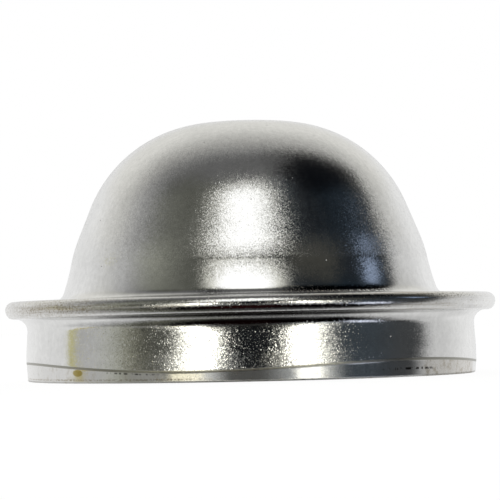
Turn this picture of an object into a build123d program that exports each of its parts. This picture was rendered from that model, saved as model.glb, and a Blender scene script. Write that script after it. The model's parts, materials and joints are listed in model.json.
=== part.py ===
"""Hub grease cap: one disc of sheet steel drawn into a dome, a folded flange and a press skirt.

The axis of the hub is Z. The lip of the skirt stands on Z = 0 and the crown is at the top.
"""

import os
from math import cos, radians, sin

from build123d import *

os.makedirs("parts", exist_ok=True)

# Driving dimensions, in millimetres and degrees
sheet = 0.9  # thickness of the steel

press_radius = 25.15  # outside of the land that is driven into the hub
press_land = 1.5  # height of that land
lead_in = 1.5  # height of the tapered band between the lip and the land, up to the trim line
lead_in_taper = 0.14  # how far that band draws in at the lip
press_relief = 0.24  # how far the skirt draws in between the land and the flange
skirt_depth = 6.89  # from the lip to the underside of the flange
lip_rounding = 0.3

under_flange_radius = 1.35  # bend between the skirt and the flange
seat_width = 0.2  # ring, flat for most of its width, that stops against the hub
hem_gap = 0.1  # left open inside the folded flange
flange_ledge = 6.2  # from the foot of the dome out to the rim of the flange

foot_radius = 1.25  # bend between the flange and the dome
neck_height = 5.4  # from the flange up to the knee
neck_inset = 1.45  # how far the knee stands in from the foot
neck_hollow = 26.5  # radius of the hollow neck
knee_radius = 16.0  # long bend where the dome's wall turns into the neck
wall_angle = 22.3  # slope of the dome's straight wall, from the axis
dome_height = 19.86  # from the flange up to the crown
shoulder_radius = 15.0
crown_radius = 56.0

shoulder_share = 0.9  # most of its room that the shoulder may take
lip_share = 0.45  # most of the sheet that one rounded edge of the lip may take

# Radii and heights that follow
fold_radius = sheet + hem_gap / 2
waist_radius = press_radius - press_relief
lip_radius = press_radius - lead_in_taper
fold_centre_radius = waist_radius + under_flange_radius + seat_width
flange_radius = fold_centre_radius + fold_radius
foot_outer_radius = flange_radius - flange_ledge

flange_top = skirt_depth + 2 * fold_radius
cap_height = flange_top + dome_height
crown_centre = Vector(0, cap_height - crown_radius)
knee = Vector(foot_outer_radius - neck_inset, flange_top + neck_height)

# The wall rises from the knee, and the shoulder's room ends at the axis or at the knee
wall_normal = Vector(cos(radians(wall_angle)), sin(radians(wall_angle)))
wall_up = Vector(-wall_normal.Y, wall_normal.X)
to_wall = (knee - crown_centre).dot(wall_normal)
room_to_axis = (to_wall - crown_radius * wall_normal.Y) / (1 - wall_normal.Y)
room_to_knee = (crown_radius**2 - (knee - crown_centre).length ** 2) / (2 * (crown_radius - to_wall))
shoulder = min(shoulder_radius, shoulder_share * min(room_to_axis, room_to_knee))

with BuildPart() as grease_cap:
    with BuildSketch(Plane.XZ) as section:
        with BuildLine():
            crown_sphere = CenterArc(crown_centre, crown_radius, 0, 90, mode=Mode.PRIVATE)
            wall = IntersectingLine(knee, wall_up, crown_sphere)
            crown = TangentArc((0, cap_height), wall @ 1, tangent=(1, 0))
            neck = RadiusArc(knee, (foot_outer_radius, flange_top), -neck_hollow)
            ledge = Line(neck @ 1, (fold_centre_radius, flange_top))
            fold = CenterArc((fold_centre_radius, flange_top - fold_radius), fold_radius, 90, -180)
            skirt = Polyline(
                fold @ 1,
                (waist_radius, skirt_depth),
                (press_radius, lead_in + press_land),
                (press_radius, lead_in),
                (lip_radius, 0),
                (0, 0),
                (0, cap_height),
            )
        make_face()
        bends = [
            (wall @ 1, shoulder),
            (knee, knee_radius),
            (neck @ 1, foot_radius),
            (Vector(waist_radius, skirt_depth), under_flange_radius),
        ]
        for corner, radius in bends:
            fillet(section.vertices().sort_by_distance(corner)[0], radius)
    revolve(axis=Axis.Z)
    mouth = grease_cap.faces().sort_by(Axis.Z)[0]
    offset(amount=-sheet, openings=mouth, kind=Kind.INTERSECTION)
    lip_edges = grease_cap.edges().group_by(Axis.Z)[0]
    fillet(lip_edges, min(lip_rounding, lip_share * sheet))

grease_cap.part.label = "grease_cap"
export_step(grease_cap.part, "parts/grease_cap.step")
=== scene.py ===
import json
from math import atan2, cos, degrees, hypot, pi, radians, sin, tan

import bpy
from mathutils import Matrix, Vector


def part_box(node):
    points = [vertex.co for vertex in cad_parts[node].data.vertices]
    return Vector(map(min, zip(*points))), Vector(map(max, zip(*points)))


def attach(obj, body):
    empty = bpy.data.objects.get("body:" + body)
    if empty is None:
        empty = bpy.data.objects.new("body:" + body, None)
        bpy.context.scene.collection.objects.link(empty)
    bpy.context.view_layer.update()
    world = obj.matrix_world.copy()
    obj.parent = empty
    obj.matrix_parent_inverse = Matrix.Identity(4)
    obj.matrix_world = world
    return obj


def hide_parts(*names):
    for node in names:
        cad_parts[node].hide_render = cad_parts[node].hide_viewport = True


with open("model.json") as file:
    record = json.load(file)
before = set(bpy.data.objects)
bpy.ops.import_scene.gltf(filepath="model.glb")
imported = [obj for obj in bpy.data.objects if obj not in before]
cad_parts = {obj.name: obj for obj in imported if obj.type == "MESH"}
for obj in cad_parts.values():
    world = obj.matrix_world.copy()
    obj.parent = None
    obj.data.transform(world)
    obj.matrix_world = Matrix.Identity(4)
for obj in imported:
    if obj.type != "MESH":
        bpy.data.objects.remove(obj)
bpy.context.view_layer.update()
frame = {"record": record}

mm = 0.001  # sizes below are in millimetres unless a name says otherwise

bpy.context.scene.view_settings.view_transform = "Standard"

# What the frame says of the cap
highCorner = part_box("grease_cap")[1]
flangeRadius = highCorner.x / mm
capHeight = highCorner.z / mm
mounts = {mount["name"]: mount for mount in frame["record"]["mounts"]}
pressMount = mounts["hub_press_land"]
pressRadius = pressMount["dims"]["r_mm"]
landMiddle = pressMount["pos_m"][2] / mm
landHalf = pressMount["dims"]["length_mm"] / 2


# One socket of a node tree, which takes part in Python expressions
class Wire:
    def __init__(self, tree, socket=None):
        self.tree = tree
        self.socket = socket

    def node(self, kind, settings=None, inputs=None, output=0):
        made = self.tree.nodes.new(kind)
        for name, value in (settings or {}).items():
            setattr(made, name, value)
        for key, value in (inputs or {}).items():
            if isinstance(value, Wire):
                self.tree.links.new(value.socket, made.inputs[key])
            else:
                made.inputs[key].default_value = value
        return Wire(self.tree, made.outputs[output] if len(made.outputs) else None)

    def math(self, operation, first, second=0.0):
        return self.node("ShaderNodeMath", {"operation": operation}, {0: first, 1: second})

    def __add__(self, other):
        return self.math("ADD", self, other)

    __radd__ = __add__

    def __sub__(self, other):
        return self.math("SUBTRACT", self, other)

    def __rsub__(self, other):
        return self.math("SUBTRACT", other, self)

    def __mul__(self, other):
        return self.math("MULTIPLY", self, other)

    __rmul__ = __mul__

    def __truediv__(self, other):
        return self.math("DIVIDE", self, other)

    def __rtruediv__(self, other):
        return self.math("DIVIDE", other, self)

    def __pow__(self, other):
        return self.math("POWER", self, other)

    def __abs__(self):
        return self.math("ABSOLUTE", self)

    # 0 below start, 1 above end, eased between; start may be the larger one
    def ease(self, start, end):
        ranges = {"Value": self, "From Min": start, "From Max": end}
        return self.node("ShaderNodeMapRange", {"interpolation_type": "SMOOTHSTEP"}, ranges)

    # 1 inside the band from low to high, with both edges softened
    def band(self, low, high, soft):
        return self.ease(low - soft, low + soft) * self.ease(high + soft, high - soft)

    def atLeast(self, least):
        return self.math("MAXIMUM", self, least)

    def atMost(self, most):
        return self.math("MINIMUM", self, most)

    # this value picks between two colours
    def blend(self, low, high):
        return self.mixed("MIX", self, low, high)

    def mixed(self, way, share, first, second):
        settings = {"data_type": "RGBA", "blend_type": way}
        return self.node("ShaderNodeMix", settings, {0: share, 6: first, 7: second}, 2)

    def vector(self, operation, first, second=(0, 0, 0)):
        return self.node("ShaderNodeVectorMath", {"operation": operation}, {0: first, 1: second})

    def parts(self, place):
        return [self.node("ShaderNodeSeparateXYZ", inputs={0: place}, output=i) for i in range(3)]

    # the same value as a grey
    def evenly(self, value):
        return self.node("ShaderNodeCombineColor", {}, {0: value, 1: value, 2: value})

    def noise(self, place, scale, detail):
        return self.node("ShaderNodeTexNoise", {}, {"Vector": place, "Scale": scale, "Detail": detail})


def grey(level, tint=(1, 1, 1)):
    return (level * tint[0], level * tint[1], level * tint[2], 1)


# The cap's shell: a section drawn from the crown to the lip, then spun about the hub's axis
capShell = {
    "sheet": 0.9,  # steel
    "stepsRound": 192,
    "crown": (56.0, 5.378, 8),  # each bend: radius, slope that it ends at, steps; 90 is straight down
    "shoulder": (15.0, 67.7, 30),
    "wall": (3.726, 5),  # each straight: length, steps
    "knee": (16.0, 78.213, 8),
    "kneeLine": [(7.0, 79.5, 3), (6.0, 77.2, 4)],  # a drawing line, steeper than what is beside it
    "neck": (26.5, 70.848, 8),
    "foot": (1.25, 0.0, 12),
    "fold": [(0.89, 90.0, 12), (1.16, 129.0, 8), (0.755, 180.0, 8)],
    "underFlange": (1.35, 86.47, 12),
    "ledgeSteps": 4,
    "reliefSteps": 6,
    "landSteps": 8,
    "leadInSteps": 8,
    "leadInTaper": 0.14,  # how far the band below the trim line draws in at the lip
    "lipRounding": 0.15,
    "lipSteps": 4,
    "trimHeight": 1.552,  # mean height of the trim line
    "trimWaves": [(2, 0.116, -50.0), (3, 0.451, 42.0)],  # how many, how high, degrees to the front's right
    "trimStep": 0.02,  # the band below the line stands back by this
    "trimDrop": 0.12,  # height of that step
    "lipReach": (0.02, 0.15),  # what ends this low, outside and inside, belongs to the lip
    "mergeWithin": 0.002,  # points nearer than this are one
    "slack": 0.01,  # and heights or radii nearer than this are the same
    "smoothAngle": 35.0,
}


class Pen:  # draws the section in edit mode, one stretch after another
    def __init__(self, x, z):
        self.x, self.z, self.slope = x, z, 0.0
        bpy.ops.mesh.primitive_plane_add(size=mm)
        bpy.ops.object.mode_set(mode="EDIT")
        bpy.ops.mesh.select_all(action="SELECT")
        bpy.ops.mesh.merge(type="CENTER")
        bpy.ops.transform.translate(value=(x * mm, 0, z * mm))

    def heading(self):
        return cos(radians(self.slope)), -sin(radians(self.slope))

    def bend(self, radius, slope, steps):
        turn = slope - self.slope
        side = 1 if turn > 0 else -1  # a hollow bend has its centre on the outside
        alongX, alongZ = self.heading()
        centreX, centreZ = self.x + side * radius * alongZ, self.z - side * radius * alongX
        centre = (centreX * mm, 0, centreZ * mm)
        bpy.ops.mesh.spin(steps=steps, angle=radians(turn), center=centre, axis=(0, -1, 0))
        self.slope = slope
        alongX, alongZ = self.heading()
        self.x, self.z = centreX - side * radius * alongZ, centreZ + side * radius * alongX

    def straight(self, length, steps):
        alongX, alongZ = self.heading()
        stepX, stepZ = alongX * length / steps, alongZ * length / steps
        for _ in range(steps):
            bpy.ops.mesh.extrude_region_move(TRANSFORM_OT_translate={"value": (stepX * mm, 0, stepZ * mm)})
        self.x, self.z = self.x + alongX * length, self.z + alongZ * length

    def straightTo(self, x, z, steps):
        self.slope = degrees(atan2(self.z - z, x - self.x))
        self.straight(hypot(x - self.x, z - self.z), steps)


def selectEdges(mesh, test):
    bpy.ops.object.mode_set(mode="EDIT")
    bpy.ops.mesh.select_mode(type="EDGE")
    bpy.ops.mesh.select_all(action="DESELECT")
    bpy.ops.object.mode_set(mode="OBJECT")
    for edge in mesh.edges:
        ends = [mesh.vertices[i].co for i in edge.vertices]
        edge.select = test(*ends)
    bpy.ops.object.mode_set(mode="EDIT")


def trimAt(angle):
    waves = [size * cos(count * (angle - radians(turn))) for count, size, turn in capShell["trimWaves"]]
    return capShell["trimHeight"] + sum(waves)


def makeShell():
    bpy.ops.object.select_all(action="DESELECT")
    pen = Pen(0, capHeight)
    shell = bpy.context.object
    shell.name = "grease_cap_shell"
    pen.bend(*capShell["crown"])
    pen.bend(*capShell["shoulder"])
    pen.straight(*capShell["wall"])
    pen.bend(*capShell["knee"])
    for stretch in capShell["kneeLine"]:
        pen.bend(*stretch)
    pen.bend(*capShell["neck"])
    pen.bend(*capShell["foot"])
    foldRadius = capShell["fold"][0][0]
    pen.straight(flangeRadius - foldRadius - pen.x, capShell["ledgeSteps"])
    for stretch in capShell["fold"]:
        pen.bend(*stretch)
    landTop, landFoot = landMiddle + landHalf, landMiddle - landHalf
    bendRadius, skirtSlope, bendSteps = capShell["underFlange"]
    # the bend's end has to run straight to the top of the land
    drop = bendRadius * (1 - cos(radians(180 - skirtSlope)))
    reach = bendRadius * sin(radians(180 - skirtSlope))
    endZ = pen.z - drop
    endX = pressRadius - (endZ - landTop) / tan(radians(skirtSlope))
    pen.straight(pen.x - endX - reach, 1)
    pen.bend(bendRadius, skirtSlope, bendSteps)
    pen.straightTo(pressRadius, landTop, capShell["reliefSteps"])
    pen.straightTo(pressRadius, landFoot, capShell["landSteps"])
    stepShare = capShell["trimDrop"] / landFoot
    pen.straightTo(pressRadius - capShell["leadInTaper"] * stepShare, landFoot - capShell["trimDrop"], 1)
    pen.straightTo(pressRadius - capShell["leadInTaper"], 0, capShell["leadInSteps"])

    bpy.ops.mesh.select_all(action="SELECT")
    bpy.ops.mesh.spin(steps=capShell["stepsRound"], angle=2 * pi, center=(0, 0, 0), axis=(0, 0, 1))
    bpy.ops.mesh.select_all(action="SELECT")
    bpy.ops.mesh.remove_doubles(threshold=capShell["mergeWithin"] * mm)
    bpy.ops.mesh.normals_make_consistent(inside=False)
    bpy.ops.object.mode_set(mode="OBJECT")

    # the trim line runs up and down round the skirt, and takes the rows beside it along
    for vertex in shell.data.vertices:
        height = vertex.co.z / mm
        if height < landTop - capShell["mergeWithin"]:
            trim = trimAt(atan2(vertex.co.x, -vertex.co.y))
            if height <= landFoot:
                moved = height * trim / landFoot
            else:
                moved = trim + (height - landFoot) * (landTop - trim) / (landTop - landFoot)
            vertex.co.z = moved * mm

    wall = shell.modifiers.new("sheet", "SOLIDIFY")
    wall.thickness = capShell["sheet"] * mm
    wall.offset = -1
    wall.use_even_offset = True
    bpy.ops.object.modifier_apply(modifier=wall.name)

    # the lip is flat under both skins, and the outer skin steps back below the trim line
    outerSkin = (pressRadius - capShell["sheet"] / 2) * mm
    outerReach, innerReach = capShell["lipReach"]
    slack = capShell["slack"] * mm
    for vertex in shell.data.vertices:
        around = vertex.co.xy
        lipReach = outerReach if around.length > outerSkin else innerReach
        if vertex.co.z < lipReach * mm:
            vertex.co.z = 0
        trim = trimAt(atan2(around.x, -around.y)) * mm
        if around.length > outerSkin and vertex.co.z < trim - slack:
            stepBack = capShell["trimStep"] * mm * vertex.co.z / trim
            vertex.co.xy = around * (1 - stepBack / around.length)
    selectEdges(shell.data, lambda a, b: a.z == b.z == 0 and abs(a.xy.length - b.xy.length) < slack)
    bpy.ops.mesh.bevel(offset=capShell["lipRounding"] * mm, segments=capShell["lipSteps"], affect="EDGES")
    bpy.ops.object.mode_set(mode="OBJECT")
    bpy.ops.object.shade_smooth_by_angle(angle=radians(capShell["smoothAngle"]))
    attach(shell, "root")
    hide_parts("grease_cap")
    print("shell:", len(shell.data.polygons), "faces")
    return shell


shell = makeShell()


# Heights, and distances from the axis, of the places that the finish tells apart.
# Two numbers are where a place starts and where it is full; three are a band and its softness.
capPlaces = {
    "dome": (8.4, 9.4),  # the finish changes over here
    "neckTop": (13.1, 12.6),
    "neckFine": (11.2, 9.9),  # the neck's grain grows finer
    "wallCoarse": (20.5, 15.5),  # and the dome's grows coarser
    "outside": (24.5, 24.7),
    "flange": (25.9, 26.6),
    "edge": (7.4, 8.3, 0.25),
    "edgeFoot": (8.2, 7.8),
    "rim": (8.25, 8.75, 0.08),
    "foot": (9.02, 9.75, 0.14),
    "footRing": (20.75, 22.95, 0.25),
    "seat": (6.75, 6.93, 0.03),
    "seatRing": (25.1, 25.4),
    "under": (6.42, 6.74, 0.04),  # bend under the flange
    "underRing": (24.93, 25.1),
    "underFront": (-28, 22, 8),  # degrees to the right of the front
    "cornerFoot": (5.0, 5.7),
    "cornerTop": (6.46, 6.34),
    "lip": (0.28, 0.1),
    "lipBand": (0.28, 0.44, 0.06),
    "trimLine": (-0.13, 0.09, 0.05),  # these three are measured up from the trim line
    "sideLine": (-0.16, 0.1, 0.04),
    "lead": (-0.05, -0.2),
}

# Bright zinc plate: a fine bright grain all over, with handling dirt on the flange and along the trim line;
# painted shade under the flange and in the hollow at the dome's foot, and a painted reflection of the yellow
# edge low on the skirt's left
zincPlate = {
    "colour": (0.75, 0.75, 0.74),
    "domeRough": 0.17,
    "skirtRough": 0.12,
    "roughSpread": 0.04,
    "rougher": {"paintedShadeAndDirt": 0.2, "pits": 0.2, "rubbed": 0.15, "under": 0.1, "lip": 0.4},
    "grain": 20.0,  # grains to a millimetre
    "grainDraw": 0.6,  # they are drawn out upwards
    "domeGrain": (0.095, 1.0),  # how far they lean from the surface, and how much more the stray ones do
    "skirtGrain": (0.06, 4.6),
    "strays": 4,  # the higher, the fewer stray grains
    "wallGrain": 1.35,  # the grain is coarser by this on the dome's wall, above the neck
    "neckGrain": (0.8, 0.25),  # share of the dome's grain on the neck, at its top and at its foot
    "leadGrain": 0.2,  # share of the skirt's grain below the trim line
    "smoothed": ((-120, -46, 5, 0.75), (34, 120, 5, 0.6)),  # smoother sides: from, to, softness, how much
    "streaks": (40.0, 0.12, 3.0),  # drawing marks: round the cap, to a millimetre upwards, detail
    "scuffs": (4.0, 9.0, 3.0),  # rubbed lines round the flange's edge
    "dashes": (55.0, 1.0, 2.0),  # nicks in a row below the trim line
    "dashEnds": (0.48, 0.54),
    "nicked": ((-36, -23, 0.29, 0.07), (33, 50, 1.0, 0.11)),  # from, to, how far below the line, half height
    "nickSoft": (4, 0.06),  # softness along the row, and of its height
    "clouds": (0.22, 3.0),  # uneven places to a millimetre, detail
    "mottle": (1.6, 4.0),
    "pepper": (5.0, 2.0),
    "shades": {"streaks": 0.1, "clouds": 0.18, "mottle": 0.24},  # how much they change the colour
    "scuffHeight": 0.0012,
    "pits": 0.45,
    "pitSize": (0.1, 0.04),
    "pitShade": 0.5,
    "pitDepth": 0.02,
    "paintedShadeAndDirt": (0.36, 0.32, 0.25),  # brown and thin; in the hollow at the dome's foot it is painted shade
    "smears": ((0.5, 0.72), (0.4, 0.65), 0.4),  # dirt in the pepper where the flange is mottled
    "paintedShadeAndDirtPatches": [
        # place, from, to, softness, share all over, then each noise: its start, its full value, its share
        ("flange", -200, 200, 1, 0, [("pepper", 0.5, 0.72, 0.1), ("scuffs", 0.5, 0.75, 0.15)]),
        ("flange", 30, 52, 5, 0.08, [("scuffs", 0.42, 0.58, 0.2)]),
        ("flange", -200, -36, 8, 0.06, [("pepper", 0.44, 0.6, 0.3)]),
        ("edge", -62, -31, 7, 0.2, [("scuffs", 0.4, 0.6, 0.25)]),
        ("edgeFoot", -24, -12, 4, 0.15, []),
        ("rim", 12, 46, 6, 0.2, [("scuffs", 0.4, 0.6, 0.3)]),
        # painted shade: brown specks in the hollow at the dome's foot
        ("foot", 8, 26, 3, 0, [("pepper", 0.54, 0.6, 0.8)]),
        ("lead", -200, 200, 1, 0, [("mottle", 0.5, 0.72, 0.3)]),
        ("lead", -200, -40, 10, 0.08, []),
        ("lead", 46, 75, 2, 0.3, [("mottle", 0.35, 0.65, 0.15), ("pepper", 0.5, 0.65, 0.15)]),
        ("lipBand", -80, -10, 8, 0, [("pepper", 0.42, 0.56, 0.7)]),
    ],
    "paintedShadeAndGrime": (0.05, 0.048, 0.044),  # black: painted shade under the flange and in the hollow at the dome's foot, and grime in the nicks and on the rim
    "paintedShadeAndGrimePatches": [
        # painted shade: dark specks in the hollow at the dome's foot
        ("foot", -14, -8, 5, 0, [("pepper", 0.62, 0.5, 0.7)]),
        ("foot", 9, 43, 5, 0, [("pepper", 0.62, 0.5, 0.95)]),
        ("rim", 42, 60, 6, 0, [("pepper", 0.56, 0.64, 0.8)]),
        # painted shade: the seat and the bend under the flange, darkest at the front
        ("seat", -200, 200, 1, 0.05, []),
        ("seat", -36, 36, 9, 0.85, []),
        ("corner", -11, 11, 3, 0.8, []),
        ("corner", -28, -24, 3, 0.4, []),
    ],
    "rubbed": (-24, -12, 3),  # the flange's edge is scraped dull here
    "rubbedMottle": (0.4, 0.55),
    "paintedYellowReflection": (-46.6, 1.75, 1.1, 0.36),  # a painted reflection of the yellow edge, a spot below the trim line: middle and half width, then upwards
    "yellowEdge": (1.35, 0.75),
    "yellowShare": 0.85,
    "yellow": (0.4, 0.33, 0.1),
    "lineTint": (0.56, 0.545, 0.46),  # the trim line is dull, and broader at the sides
    "lineThin": (-30, 24, 6),
    "sideTint": (0.32, 0.315, 0.28),
    "lineRough": 0.3,
}


def makeZinc():
    material = bpy.data.materials.new("bright zinc plate")
    material.use_nodes = True
    tree = material.node_tree
    tree.nodes.clear()
    start = Wire(tree)
    place = start.node("ShaderNodeTexCoord", output=3)
    inMillimetres = {"Vector": place, "Scale": (1 / mm, 1 / mm, 1 / mm)}
    place = start.node("ShaderNodeMapping", {"vector_type": "POINT"}, inMillimetres)
    x, y, z = start.parts(place)
    away = (x * x + y * y) ** 0.5
    angle = start.math("ARCTAN2", x, 0 - y)
    turned = angle * (180 / pi)

    # where things are
    at = capPlaces
    dome = z.ease(*at["dome"])
    neck = dome * z.ease(*at["neckTop"])
    outside = away.ease(*at["outside"])
    flange = away.ease(*at["flange"])
    edge = flange * z.band(*at["edge"])
    waves = [
        start.math("COSINE", (angle - radians(turn)) * count) * size
        for count, size, turn in capShell["trimWaves"]
    ]
    above = z - capShell["trimHeight"] - sum(waves)
    line = above.band(*at["trimLine"])
    sides = 1 - turned.band(*zincPlate["lineThin"])
    line = (line + above.band(*at["sideLine"]) * sides * (1 - line)) * outside
    lead = above.ease(*at["lead"]) * outside
    places = {
        "flange": flange,
        "edge": edge,
        "edgeFoot": edge * z.ease(*at["edgeFoot"]),
        "rim": flange * z.band(*at["rim"]),
        "foot": z.band(*at["foot"]) * away.band(*at["footRing"]),
        "seat": z.band(*at["seat"]) * away.ease(*at["seatRing"]),
        "corner": z.ease(*at["cornerFoot"]) * z.ease(*at["cornerTop"]) * outside,
        "lead": lead,
        "lipBand": z.band(*at["lipBand"]) * outside,
    }

    # each grain of the plating leans its own way
    drawnOut = start.vector("MULTIPLY", place, (1, 1, zincPlate["grainDraw"]))
    cells = {"Vector": drawnOut, "Scale": zincPlate["grain"]}
    grains = start.node("ShaderNodeTexVoronoi", {}, cells, 1)
    stray = start.node("ShaderNodeTexWhiteNoise", {}, {"Vector": grains}) ** zincPlate["strays"]
    (domeLean, domeStray), (skirtLean, skirtStray) = zincPlate["domeGrain"], zincPlate["skirtGrain"]
    tilt = skirtLean + dome * (domeLean - skirtLean)
    tilt = tilt * (1 + stray * (skirtStray + dome * (domeStray - skirtStray)))
    tilt = tilt * (1 + lead * (zincPlate["leadGrain"] - 1))
    neckTop, neckFoot = zincPlate["neckGrain"]
    neckShare = neckTop + z.ease(*at["neckFine"]) * (neckFoot - neckTop)
    tilt = tilt * (1 + neck * (neckShare - 1))
    tilt = tilt * (1 + (dome - neck) * z.ease(*at["wallCoarse"]) * (zincPlate["wallGrain"] - 1))
    smoothing = [turned.band(first, last, soft) * share for first, last, soft, share in zincPlate["smoothed"]]
    tilt = tilt * (1 - sum(smoothing) * (1 - dome))
    lean = start.vector("SUBTRACT", grains, (0.5, 0.5, 0.5))
    lean = start.node("ShaderNodeVectorMath", {"operation": "SCALE"}, {0: lean, "Scale": tilt})
    facing = start.node("ShaderNodeNewGeometry", output=1)
    facing = start.vector("NORMALIZE", start.vector("ADD", facing, lean))

    # marks that run up the dome and round the flange
    def drawn(around, upward, detail):
        turns = {0: x / away * around, 1: y / away * around, 2: z * upward}
        return start.noise(start.node("ShaderNodeCombineXYZ", {}, turns), 1.0, detail)

    noises = {
        "streaks": drawn(*zincPlate["streaks"]),
        "scuffs": drawn(*zincPlate["scuffs"]),
        "clouds": start.noise(place, *zincPlate["clouds"]),
        "mottle": start.noise(place, *zincPlate["mottle"]),
        "pepper": start.noise(place, *zincPlate["pepper"]),
    }
    specks = {"Vector": place, "Scale": zincPlate["pits"]}
    specks = start.node("ShaderNodeTexVoronoi", {"feature": "F1"}, specks)
    pits = (specks / zincPlate["pits"]).ease(*zincPlate["pitSize"])

    def patches(rows):
        shares = []
        for name, first, last, soft, even, grounds in rows:
            share = even + sum(noises[noise].ease(low, full) * part for noise, low, full, part in grounds)
            shares.append(places[name] * turned.band(first, last, soft) * share)
        return sum(shares)

    peppered, mottled, share = zincPlate["smears"]
    smears = noises["pepper"].ease(*peppered) * noises["mottle"].ease(*mottled) * share
    # dirt on the flange and along the trim line, with painted shade in the dome's foot
    paintedShadeAndDirt = (flange * smears + patches(zincPlate["paintedShadeAndDirtPatches"])).atMost(1)
    nickSoft, nickFade = zincPlate["nickSoft"]
    nicks = [
        turned.band(first, last, nickSoft) * above.band(-below - half, half - below, nickFade)
        for first, last, below, half in zincPlate["nicked"]
    ]
    nicks = drawn(*zincPlate["dashes"]).ease(*zincPlate["dashEnds"]) * sum(nicks) * outside
    # black: grime in the nicks and on the rim, and painted shade under the flange and at the dome's foot
    paintedShadeAndGrime = (nicks + patches(zincPlate["paintedShadeAndGrimePatches"])).atMost(1)
    # a painted reflection of the yellow edge, low on the skirt's left
    middle, half, level, halfHeight = zincPlate["paintedYellowReflection"]
    yellowReflection = ((turned - middle) / half) ** 2 + ((z - level) / halfHeight) ** 2
    yellowReflection = yellowReflection.ease(*zincPlate["yellowEdge"]) * outside * zincPlate["yellowShare"]

    shade = 1 - pits * zincPlate["pitShade"]
    shade = shade + sum((noises[name] - 0.5) * part for name, part in zincPlate["shades"].items())
    colour = start.mixed("MULTIPLY", 1.0, grey(1, zincPlate["colour"]), start.evenly(shade))
    colour = paintedShadeAndDirt.blend(colour, grey(1, zincPlate["paintedShadeAndDirt"]))
    colour = yellowReflection.blend(colour, grey(1, zincPlate["yellow"]))
    colour = paintedShadeAndGrime.blend(colour, grey(1, zincPlate["paintedShadeAndGrime"]))
    lineColour = sides.blend(grey(1, zincPlate["lineTint"]), grey(1, zincPlate["sideTint"]))
    colour = line.blend(colour, lineColour)

    dulled = {
        "paintedShadeAndDirt": paintedShadeAndDirt,
        "pits": pits,
        "rubbed": edge * turned.band(*zincPlate["rubbed"]) * noises["mottle"].ease(*zincPlate["rubbedMottle"]),
        "under": z.band(*at["under"]) * away.ease(*at["underRing"]) * turned.band(*at["underFront"]),
        "lip": z.ease(*at["lip"]) * outside,
    }
    rough = zincPlate["skirtRough"] + (dome - neck) * (zincPlate["domeRough"] - zincPlate["skirtRough"])
    rough = rough + (noises["clouds"] + noises["streaks"] - 1) * zincPlate["roughSpread"]
    rough = rough + sum(dulled[name] * more for name, more in zincPlate["rougher"].items())
    rough = rough + line * (zincPlate["lineRough"] - rough)
    height = noises["scuffs"] * flange * zincPlate["scuffHeight"] - pits * zincPlate["pitDepth"]
    bump = start.node("ShaderNodeBump", {}, {
        "Height": height, "Strength": 1.0, "Distance": mm, "Filter Width": 0.1, "Normal": facing})
    steel = start.node("ShaderNodeBsdfPrincipled", {}, {
        "Base Color": colour, "Metallic": 1.0, "Roughness": rough, "Normal": bump})
    start.node("ShaderNodeOutputMaterial", {}, {"Surface": steel})
    return material


shell.data.materials.clear()
shell.data.materials.append(makeZinc())
print("finish: bright zinc plate")


# The paper round the cap, and the dark room on both sides of the camera, by direction in degrees.
# Azimuth 0 is towards the camera and grows to the right, elevation is above the horizon.
# A row says where a fade starts, where it is full, and the level it brings; a band has its softness third.
paperRoom = {
    "low": (18, 8),
    "floor": (-14, -24),
    "leftSlant": (22, 30, 1.05),  # the paper's left edge slants above this, for how far, and by how much
    "leftPaper": [(-38, -140, 0.83)],
    "leftSheen": ((-72, -48, 10), (14, 42, 8), 0.07),
    "leftSweep": 0.8,  # and below the horizon
    "leftEnd": [(-103, -106.5, 0.32)],
    "leftLow": [(-52, -80, 0.41), (-104, -165, 0.13)],
    "leftWall": [(-15, -42, 0.08)],
    "leftGap": ((4, 14, 2), 0.5),
    "leftFloor": [(-38, -58, 0.1), (-60, -100, 0.45), (-100, -125, 0.3)],
    "rightSlant": (4, -15, 50, 0.42),  # likewise, from so far below to so far above
    "rightTurn": (32, 10, 0.75),  # the right edge slants more above this
    "rightStart": (91, 106),
    "rightPaper": (0.63, (103, 148, 0.3)),
    "rightWall": (30, 44),
    "rightLow": ((24, 2), (-4, -9, 0.3), 0.04),
    "rightFloor": [(66, 98, 0.6), (98, 125, 0.16)],
    "front": (-30, -10, 0.022),
    "haze": (12, 30, 0.09),
    "backHaze": ((140, 176), (45, 25), 0.09),
    "topLevel": 0.13,
    "topFade": (32, 104),
    "frontTop": ((-70, 50, 25), (55, 66)),
    "below": (-50, -64),
    "belowLevels": (0.05, 0.62),  # straight below the cap, towards the front and the back
    "belowFade": (-0.3, 0.3),
}

# What colours the light of the room
roomTints = {
    "olive": (1.03, 1.05, 0.9),  # the room on the left
    "oliveSpan": ((-90, -64), (-14, -30)),
    "lowOlive": (1.08, 1.07, 0.84),
    "lowOliveSpan": (-67, -53, 5),
    "cool": (0.8, 1.0, 1.2),  # and on the right
    "coolSpan": ((-16, -6), (98, 88)),
    "coolLow": (58, 84, 0.75),
    "deepBlue": (0.64, 1.0, 1.36),
    "deepBlueSpan": ((46, 66), (26, 34)),
    "ceiling": (66, 52),
    "ground": (-20, -10),
    "warm": (1.02, 1.01, 0.965),  # the paper high up at the back
    "warmSpan": ((0, 0.3), (14, 30)),
}

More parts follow.
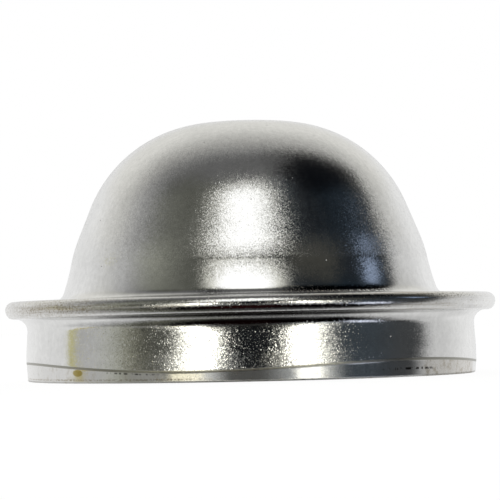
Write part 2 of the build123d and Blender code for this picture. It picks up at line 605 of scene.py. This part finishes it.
# One soft box high at the front, with strips and cards round the camera
studio = {
    "softBox": {
        "middle": (-3.0, 42.3),
        "size": (23.2, 15.9),
        "edge": (1.5, 0.58),
        "level": 1.48,
        "lean": (0.05, 0.16),
        "square": 3,  # 2 is an ellipse, and more is squarer
        "rim": (1.04, 1.03, 0.93),  # it is warmer towards its rim
        "core": (0.5, 0.95),
    },
    "panels": {
        # azimuth, softness of the ends, elevation, softness, lean of the ends below the horizon, level, tint
        "front flag": ((-10, 13), (5, 5), (-6, 16), 4, (0, 0), 0.006, (0.8, 1, 1.25)),
        "low glow": ((-30, 20), (8, 8), (-20, -7), 2, (0, 0), 0.09, (1.02, 1.02, 0.97)),
        "far left glow": ((-66, -44), (6, 3), (-20, -7), 2, (0, 0), 0.3, (1.03, 1.02, 0.95)),
        "left glow": ((-30, -16), (6, 6), (-22, -7), 2, (0, 0), 0.62, (1.0, 1.01, 0.99)),
        "right glow": ((14, 45), (11, 5), (-22, -7), 2, (0, 0), 0.42, (0.98, 1.01, 1.01)),
        "left spill": ((-15, -8), (4, 4), (-6, 0.5), 1.5, (0, 0), 0.4, (1.0, 1.02, 0.98)),
        "right spill": ((10, 18), (4, 4), (-6, 0.5), 1.5, (0, 0), 0.55, (1.07, 1.04, 0.89)),
        "far left spill": ((-43, -30), (5, 4), (-6, 0.5), 1.5, (0, 0), 0.5, (1.03, 1.02, 0.95)),
        "far right spill": ((33, 44), (4, 6), (-6, 0.5), 1.5, (0, 0), 0.4, (1.06, 1.03, 0.91)),
        "left strip": ((-31.4, -16.4), (10.5, 4), (-10, 12), 3.5, (0.45, 0.85), 3.6, (1.04, 1.025, 0.92)),
        "right strip": ((18.8, 32.6), (3.5, 11.5), (-13.5, 12.5), 3, (-0.8, 0.2), 3.6, (1.045, 1.025, 0.92)),
        "cream card": ((-41.5, -24.5), (2, 2), (-14.5, -8.5), 1.5, (0, 0), 1.2, (1.13, 1.06, 0.81)),
        "white card": ((22.5, 36), (2, 2), (-14.5, -8.5), 1.5, (0, 0), 1.7, (1.03, 1.02, 0.95)),
        "right flag": ((45, 115), (8, 7), (42, 71), 4, (0, 0), 0.002, (0.5, 0.9, 1.6)),
        "blue haze": ((80, 98), (6, 6), (22, 33), 4, (0, 0), 0.07, (0.74, 0.97, 1.29)),
        "olive haze": ((24, 60), (8, 6), (16, 33), 4, (0, 0), 0.055, (1.05, 1.04, 0.91)),
        "blue card": ((81, 91), (3.5, 3.5), (19.5, 28), 2.5, (0, 0), 0.46, (0.76, 0.94, 1.3)),
        "low blue card": ((51.5, 68), (1.5, 4), (-28, -13), 3, (0, 0), 1.05, (0.9, 0.96, 1.14)),
        "yellow edge": ((-105, -99.5), (0.8, 2), (-6, 15), 2, (-0.8, -0.8), 0.42, (1.27, 1.19, 0.54)),
        "low yellow edge": ((-105.5, -100), (0.8, 1.2), (-17, -6), 2, (-0.75, -0.75), 0.36, (1.45, 1.2, 0.35)),
        "red cloth": ((-22, 14), (5, 5), (-55, -22), 5, (0, 0), 0.006, (2.2, 0.35, 0.4)),
    },
}


def makeStudio():
    world = bpy.data.worlds.new("studio")
    bpy.context.scene.world = world
    world.use_nodes = True
    tree = world.node_tree
    tree.nodes.clear()
    start = Wire(tree)
    x, y, z = start.parts(start.node("ShaderNodeTexCoord", output=0))
    azimuth = start.math("ARCTAN2", x, 0 - y) * (180 / pi)
    elevation = start.math("ARCSINE", z) * (180 / pi)
    room = paperRoom
    low, floor = elevation.ease(*room["low"]), elevation.ease(*room["floor"])

    def fades(angle, rows):
        return sum(angle.ease(first, last) * level for first, last, level in rows)

    # the paper behind the cap fades out towards the left of the camera
    slantFrom, slantFor, slant = room["leftSlant"]
    leftEdge = azimuth + (elevation - slantFrom).atLeast(0).atMost(slantFor) * slant
    across, upward, sheen = room["leftSheen"]
    left = fades(leftEdge, room["leftPaper"]) + azimuth.band(*across) * elevation.band(*upward) * sheen
    swept = azimuth + elevation.atMost(0) * room["leftSweep"]
    leftLow = fades(azimuth, room["leftLow"]) + fades(swept, room["leftEnd"])
    gap, gapShare = room["leftGap"]
    leftWall = fades(azimuth, room["leftWall"]) * (1 - floor) * (1 - elevation.band(*gap) * gapShare)
    left = left + low * (leftLow - left) + leftWall
    left = left + floor * (fades(azimuth, room["leftFloor"]) - left)

    # and towards its right
    slantFrom, slantLeast, slantMost, slant = room["rightSlant"]
    rightEdge = azimuth - (elevation - slantFrom).atLeast(slantLeast).atMost(slantMost) * slant
    slantFrom, slantFor, slant = room["rightTurn"]
    rightEdge = rightEdge - (elevation - slantFrom).atLeast(0).atMost(slantFor) * slant
    paper, farPaper = room["rightPaper"]
    right = rightEdge.ease(*room["rightStart"]) * (paper + fades(rightEdge, [farPaper]))
    wallFade, wallFoot, wallLevel = room["rightLow"]
    rightWall = azimuth.ease(*room["rightWall"]) * (elevation.ease(*wallFade) - fades(elevation, [wallFoot]))
    right = right + rightWall * wallLevel * (1 - right)
    right = right + floor * (fades(azimuth, room["rightFloor"]) - right)

    # above and below
    level = left + right + fades(elevation, [room["front"]])
    backward, upward, share = room["backHaze"]
    backHaze = abs(azimuth).ease(*backward) * elevation.ease(*upward) * share
    level = level * (1 - fades(elevation, [room["haze"]])) * (1 - backHaze)
    level = level + elevation.ease(*room["topFade"]) * (room["topLevel"] - level)
    across, upward = room["frontTop"]
    level = level + azimuth.band(*across) * elevation.ease(*upward) * (room["topLevel"] - level)
    belowFront, belowBack = room["belowLevels"]
    belowLevel = belowFront + y.ease(*room["belowFade"]) * (belowBack - belowFront)
    level = level + elevation.ease(*room["below"]) * (belowLevel - level)

    # the room's colours
    ceiling = elevation.ease(*roomTints["ceiling"])
    oliveFrom, oliveTo = roomTints["oliveSpan"]
    olive = azimuth.ease(*oliveFrom) * azimuth.ease(*oliveTo) * ceiling
    tint = olive.blend(grey(1), grey(1, roomTints["olive"]))
    tint = (low * azimuth.band(*roomTints["lowOliveSpan"])).blend(tint, grey(1, roomTints["lowOlive"]))
    coolFrom, coolTo = roomTints["coolSpan"]
    cool = azimuth.ease(*coolFrom) * rightEdge.ease(*coolTo) * ceiling * elevation.ease(*roomTints["ground"])
    cool = cool * (1 - low * fades(azimuth, [roomTints["coolLow"]]))
    tint = cool.blend(tint, grey(1, roomTints["cool"]))
    across, upward = roomTints["deepBlueSpan"]
    deepBlue = cool * azimuth.ease(*across) * elevation.ease(*upward)
    tint = deepBlue.blend(tint, grey(1, roomTints["deepBlue"]))
    backward, upward = roomTints["warmSpan"]
    tint = (y.ease(*backward) * elevation.ease(*upward)).blend(tint, grey(1, roomTints["warm"]))
    colour = start.mixed("MULTIPLY", 1.0, tint, start.evenly(level))

    below = elevation.atMost(0)
    for ends, softs, span, soft, (leftLean, rightLean), level, shade in studio["panels"].values():
        (left, right), (leftSoft, rightSoft) = ends, softs
        across = (azimuth - below * leftLean).ease(left - leftSoft, left + leftSoft)
        across = across * (azimuth - below * rightLean).ease(right + rightSoft, right - rightSoft)
        colour = (across * elevation.band(*span, soft)).blend(colour, grey(level, shade))
    box = studio["softBox"]
    (boxAzimuth, boxElevation), (boxWidth, boxHeight) = box["middle"], box["size"]
    upBox = (elevation - boxElevation) / boxHeight
    acrossBox = (azimuth - boxAzimuth) / boxWidth + upBox * box["lean"][0]
    upBox = upBox - acrossBox * box["lean"][1]
    square = box["square"]
    lit = ((abs(acrossBox) ** square + abs(upBox) ** square) ** (1 / square)).ease(*box["edge"])
    glow = lit.ease(*box["core"]).blend(grey(box["level"], box["rim"]), grey(box["level"]))
    colour = lit.blend(colour, glow)
    seen = start.node("ShaderNodeLightPath", output=0)  # the camera itself sees white
    colour = seen.blend(colour, grey(1))
    light = start.node("ShaderNodeBackground", {}, {"Color": colour, "Strength": 1.0})
    start.node("ShaderNodeOutputWorld", {}, {"Surface": light})
    print("studio: one soft box and", len(studio["panels"]), "panels")


makeStudio()


# A pale floor, lifted to white where the camera sees it; the metal mirrors the studio's lower half
paleFloor = {"size": 4000, "drop": 0.02, "colour": 0.85, "lift": 0.8, "glow": 1.17}


def makeFloor():
    bpy.ops.object.select_all(action="DESELECT")
    bpy.ops.mesh.primitive_plane_add(size=paleFloor["size"] * mm, location=(0, 0, -paleFloor["drop"] * mm))
    floor = bpy.context.object
    floor.name = "pale_floor"
    floor.visible_glossy = False
    material = bpy.data.materials.new("pale floor")
    material.use_nodes = True
    tree = material.node_tree
    tree.nodes.clear()
    start = Wire(tree)
    matt = start.node("ShaderNodeBsdfDiffuse", {}, {"Color": grey(paleFloor["colour"])})
    white = start.node("ShaderNodeEmission", {}, {"Color": grey(1), "Strength": paleFloor["glow"]})
    seen = start.node("ShaderNodeLightPath", output=0) * paleFloor["lift"]
    shown = start.node("ShaderNodeMixShader", {}, {0: seen, 1: matt, 2: white})
    start.node("ShaderNodeOutputMaterial", {}, {"Surface": shown})
    floor.data.materials.append(material)
    print("floor: in place")


makeFloor()


# The camera stands almost level with the skirt, low and with a long lens, tipped a little to one side
viewPoint = {
    "distance": 252.63,
    "height": 5.61,
    "pitch": 1.947,  # degrees
    "yaw": 0.026,
    "roll": 1.269,
    "lens": 161.66,
    "sensor": 36,
    "nearest": 10,
}


def makeCamera():
    turned = Matrix.Rotation(-radians(viewPoint["yaw"]), 3, "Z")
    turned @= Matrix.Rotation(radians(90 + viewPoint["pitch"]), 3, "X")
    turned @= Matrix.Rotation(-radians(viewPoint["roll"]), 3, "Z")
    stand = (0, -viewPoint["distance"] * mm, viewPoint["height"] * mm)
    bpy.ops.object.camera_add(location=stand, rotation=turned.to_euler())
    camera = bpy.context.object
    camera.data.lens = viewPoint["lens"]
    camera.data.sensor_width = viewPoint["sensor"]
    camera.data.clip_start = viewPoint["nearest"] * mm
    bpy.context.scene.camera = camera
    print("camera: in place")


makeCamera()
